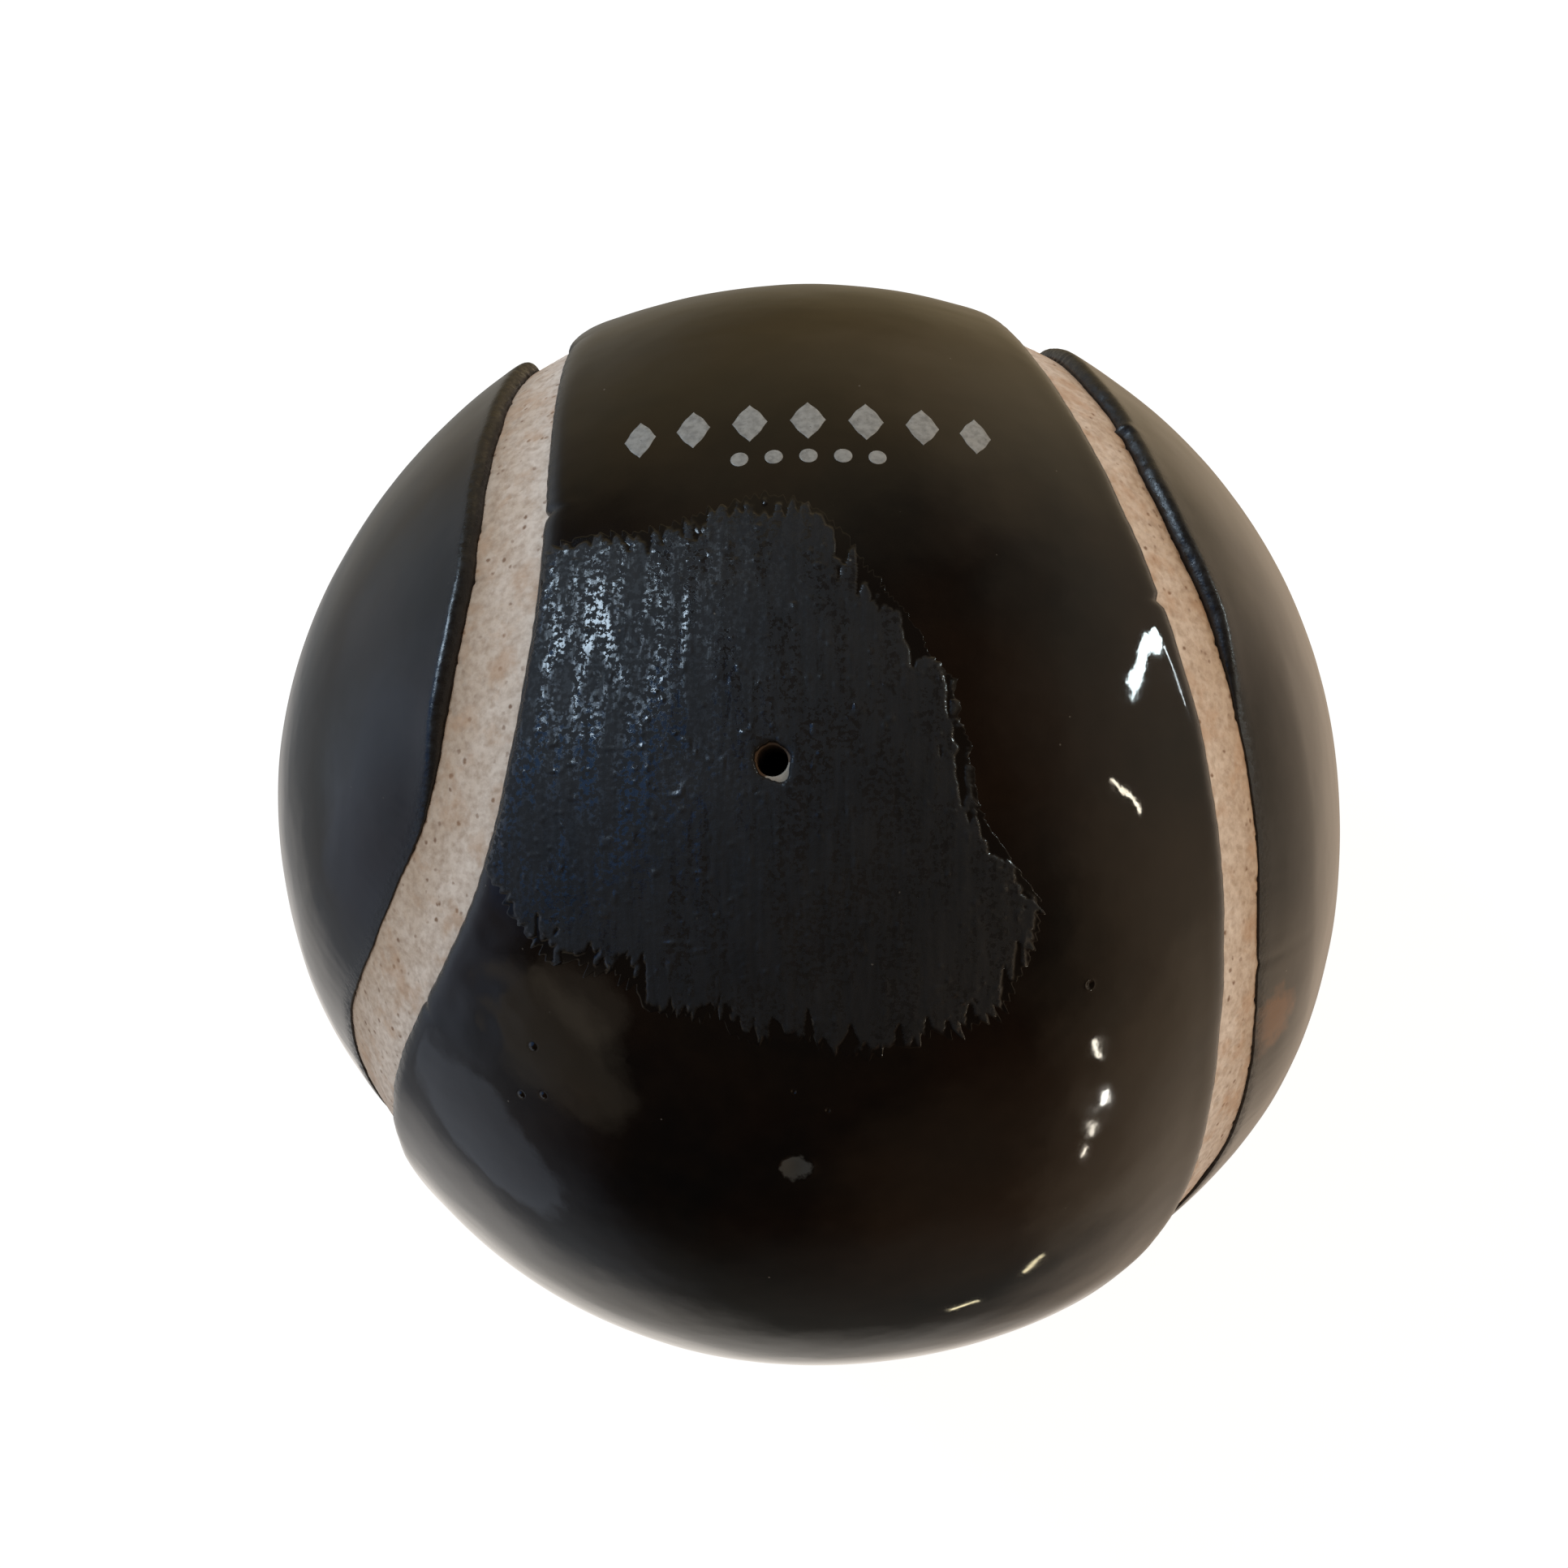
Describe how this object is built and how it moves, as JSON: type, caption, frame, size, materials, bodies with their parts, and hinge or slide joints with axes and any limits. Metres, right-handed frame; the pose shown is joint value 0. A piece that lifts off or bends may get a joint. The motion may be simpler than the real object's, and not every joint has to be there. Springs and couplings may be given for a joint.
{
  "type": "croquet ball",
  "caption": "Hollow glazed ceramic ball with a bare clay groove round it like a tennis ball's seam, a small vent hole and a rough brushed coat round the hole.",
  "frame": {"origin": "centre of the ball", "axes": "+Z out of the vent hole along its axis; +Y from the vent hole towards the side of the ball that carries the printed mark; +X completes the right-handed set"},
  "size_m": [0.092, 0.092, 0.092],
  "materials": {
    "bare_clay": "matte, speckled",
    "fired_slip": "matte",
    "black_glaze": "gloss",
    "rough_coat": "satin, brushed and grainy",
    "pale_print": "satin"
  },
  "bodies": {
    "root": {"body_front_half": "bare_clay", "body_rear_half": "bare_clay", "luting_slip": "fired_slip", "front_glaze_panel": "black_glaze", "rear_glaze_panel": "black_glaze", "brushed_coat": "rough_coat", "transfer_mark": "pale_print"}
  },
  "joints": []
}
